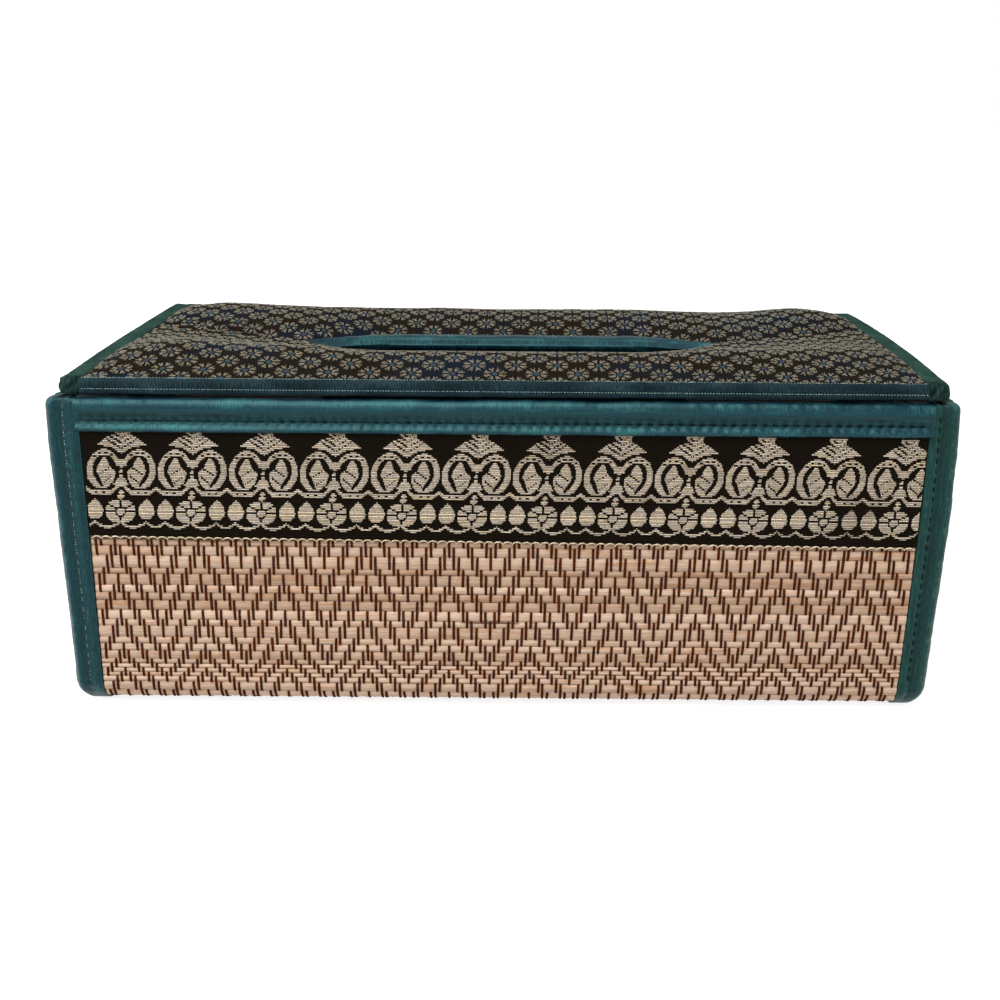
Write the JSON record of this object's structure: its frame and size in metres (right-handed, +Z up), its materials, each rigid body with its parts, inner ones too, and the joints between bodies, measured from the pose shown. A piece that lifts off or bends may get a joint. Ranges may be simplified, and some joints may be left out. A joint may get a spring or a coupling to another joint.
{
  "type": "tissue box cover",
  "caption": "Rectangular tissue box cover of fabric-bound board and reed matting, with a padded slotted lid hinged along the back.",
  "frame": {"origin": "centre of the underside, on the surface the cover stands on", "axes": "+X along the length towards the right end, -Y out of the front, +Z up"},
  "size_m": [0.25, 0.125, 0.103],
  "materials": {
    "card_board": "matt grey-brown pasteboard",
    "reed_mat": "split reeds laid flat and bound with dark red-brown thread, low sheen",
    "silver_brocade": "jacquard ribbon, silver-beige metallic weft on near-black ground",
    "flower_brocade": "jacquard cloth, cream flowers on near-black navy ground",
    "teal_satin": "glossy satin ribbon, teal blue",
    "green_satin": "glossy satin ribbon, dark green",
    "slate_satin": "low-sheen ribbon, slate teal",
    "lining_cloth": "plain black lining cloth, matt",
    "hook_tape": "hook tape, black",
    "loop_tape": "loop tape, black",
    "foam": "open foam wadding, pale cream"
  },
  "bodies": {
    "case": {"front_board": "card_board", "base_board": "card_board", "back_board": "card_board", "left_end_board": "card_board", "right_end_board": "card_board", "wrap_reed_mat": "reed_mat", "left_end_reed_mat": "reed_mat", "right_end_reed_mat": "reed_mat", "front_brocade_band": "silver_brocade", "back_brocade_band": "silver_brocade", "left_brocade_band": "silver_brocade", "right_brocade_band": "silver_brocade", "front_rim_binding": "teal_satin", "left_rim_binding": "teal_satin", "right_rim_binding": "teal_satin", "back_rim_facing": "lining_cloth", "left_edge_binding": "teal_satin", "right_edge_binding": "teal_satin", "wrap_lining": "lining_cloth", "left_end_lining": "lining_cloth", "right_end_lining": "lining_cloth", "rim_left_hook_tape": "hook_tape", "rim_right_hook_tape": "hook_tape", "hinge_fabric": "flower_brocade"},
    "lid": {"lid_board": "card_board", "lid_padding": "foam", "lid_cover": "flower_brocade", "lid_lining": "lining_cloth", "lid_front_binding": "slate_satin", "lid_left_binding": "green_satin", "lid_right_binding": "green_satin", "slot_binding": "teal_satin", "lid_left_loop_tape": "loop_tape", "lid_right_loop_tape": "loop_tape"}
  },
  "joints": [
    {"name": "lid_hinge", "type": "hinge", "parent": "case", "child": "lid", "pos_m": [0, 0.0625, 0.0938], "axis": [-1, 0, 0], "range_deg": [0, 180], "deforming": ["hinge_fabric"]}
  ]
}
